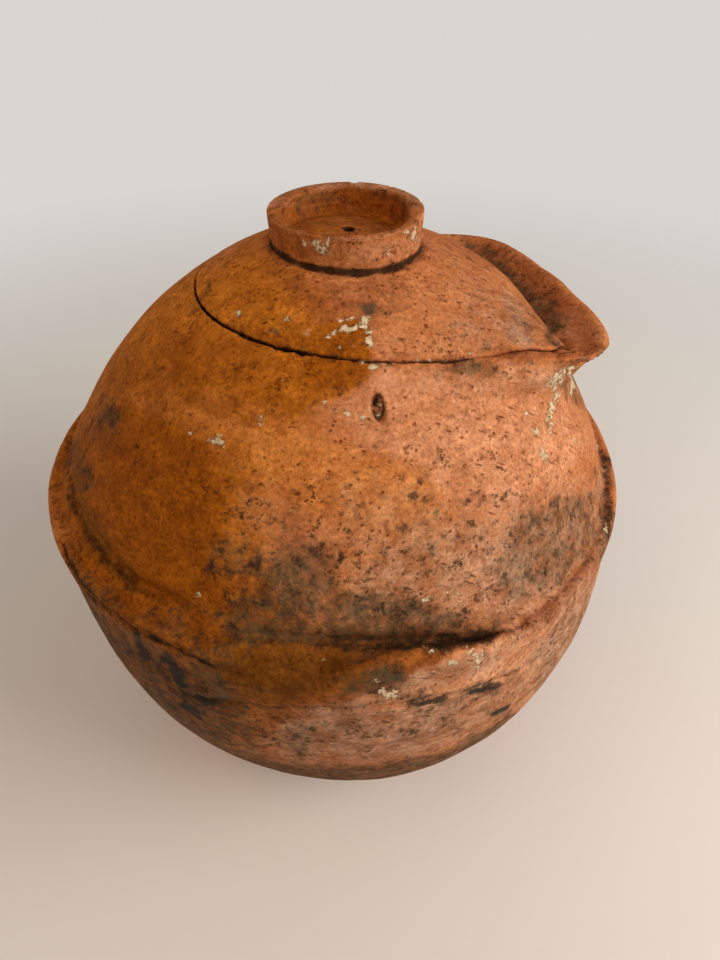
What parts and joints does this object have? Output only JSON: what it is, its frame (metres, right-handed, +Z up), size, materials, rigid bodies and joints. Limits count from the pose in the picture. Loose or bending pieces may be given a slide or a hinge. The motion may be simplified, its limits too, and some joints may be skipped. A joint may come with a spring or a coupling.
{
  "type": "lidded olla pot",
  "caption": "Round-bodied unglazed terracotta olla with a flush lift-off lid, ring grip with a steam vent, broad pouring lip, belly flange and pressed-on grip lugs.",
  "frame": {"origin": "centre of the flat the pot stands on, at floor level", "axes": "+Z up, +X towards the pouring lip, grip lugs towards -Y and +Y"},
  "size_m": [0.3936, 0.4066, 0.4307],
  "materials": {
    "pot_terracotta": "unglazed fired clay, smoke-marked and worn",
    "lid_terracotta": "unglazed fired clay, worn at the edges"
  },
  "bodies": {
    "pot": {"round_base": "pot_terracotta", "bowl_wall": "pot_terracotta", "upper_dome": "pot_terracotta", "pouring_lip": "pot_terracotta", "front_lug": "pot_terracotta", "back_lug": "pot_terracotta", "flange_lip_side": "pot_terracotta", "flange_far_side": "pot_terracotta"},
    "lid": {"lid_dome": "lid_terracotta", "lid_grip_ring": "lid_terracotta"}
  },
  "joints": [
    {"name": "lid_lift", "type": "slide", "parent": "pot", "child": "lid", "axis": [0, 0, 1], "range_m": [0, 0.15]}
  ]
}
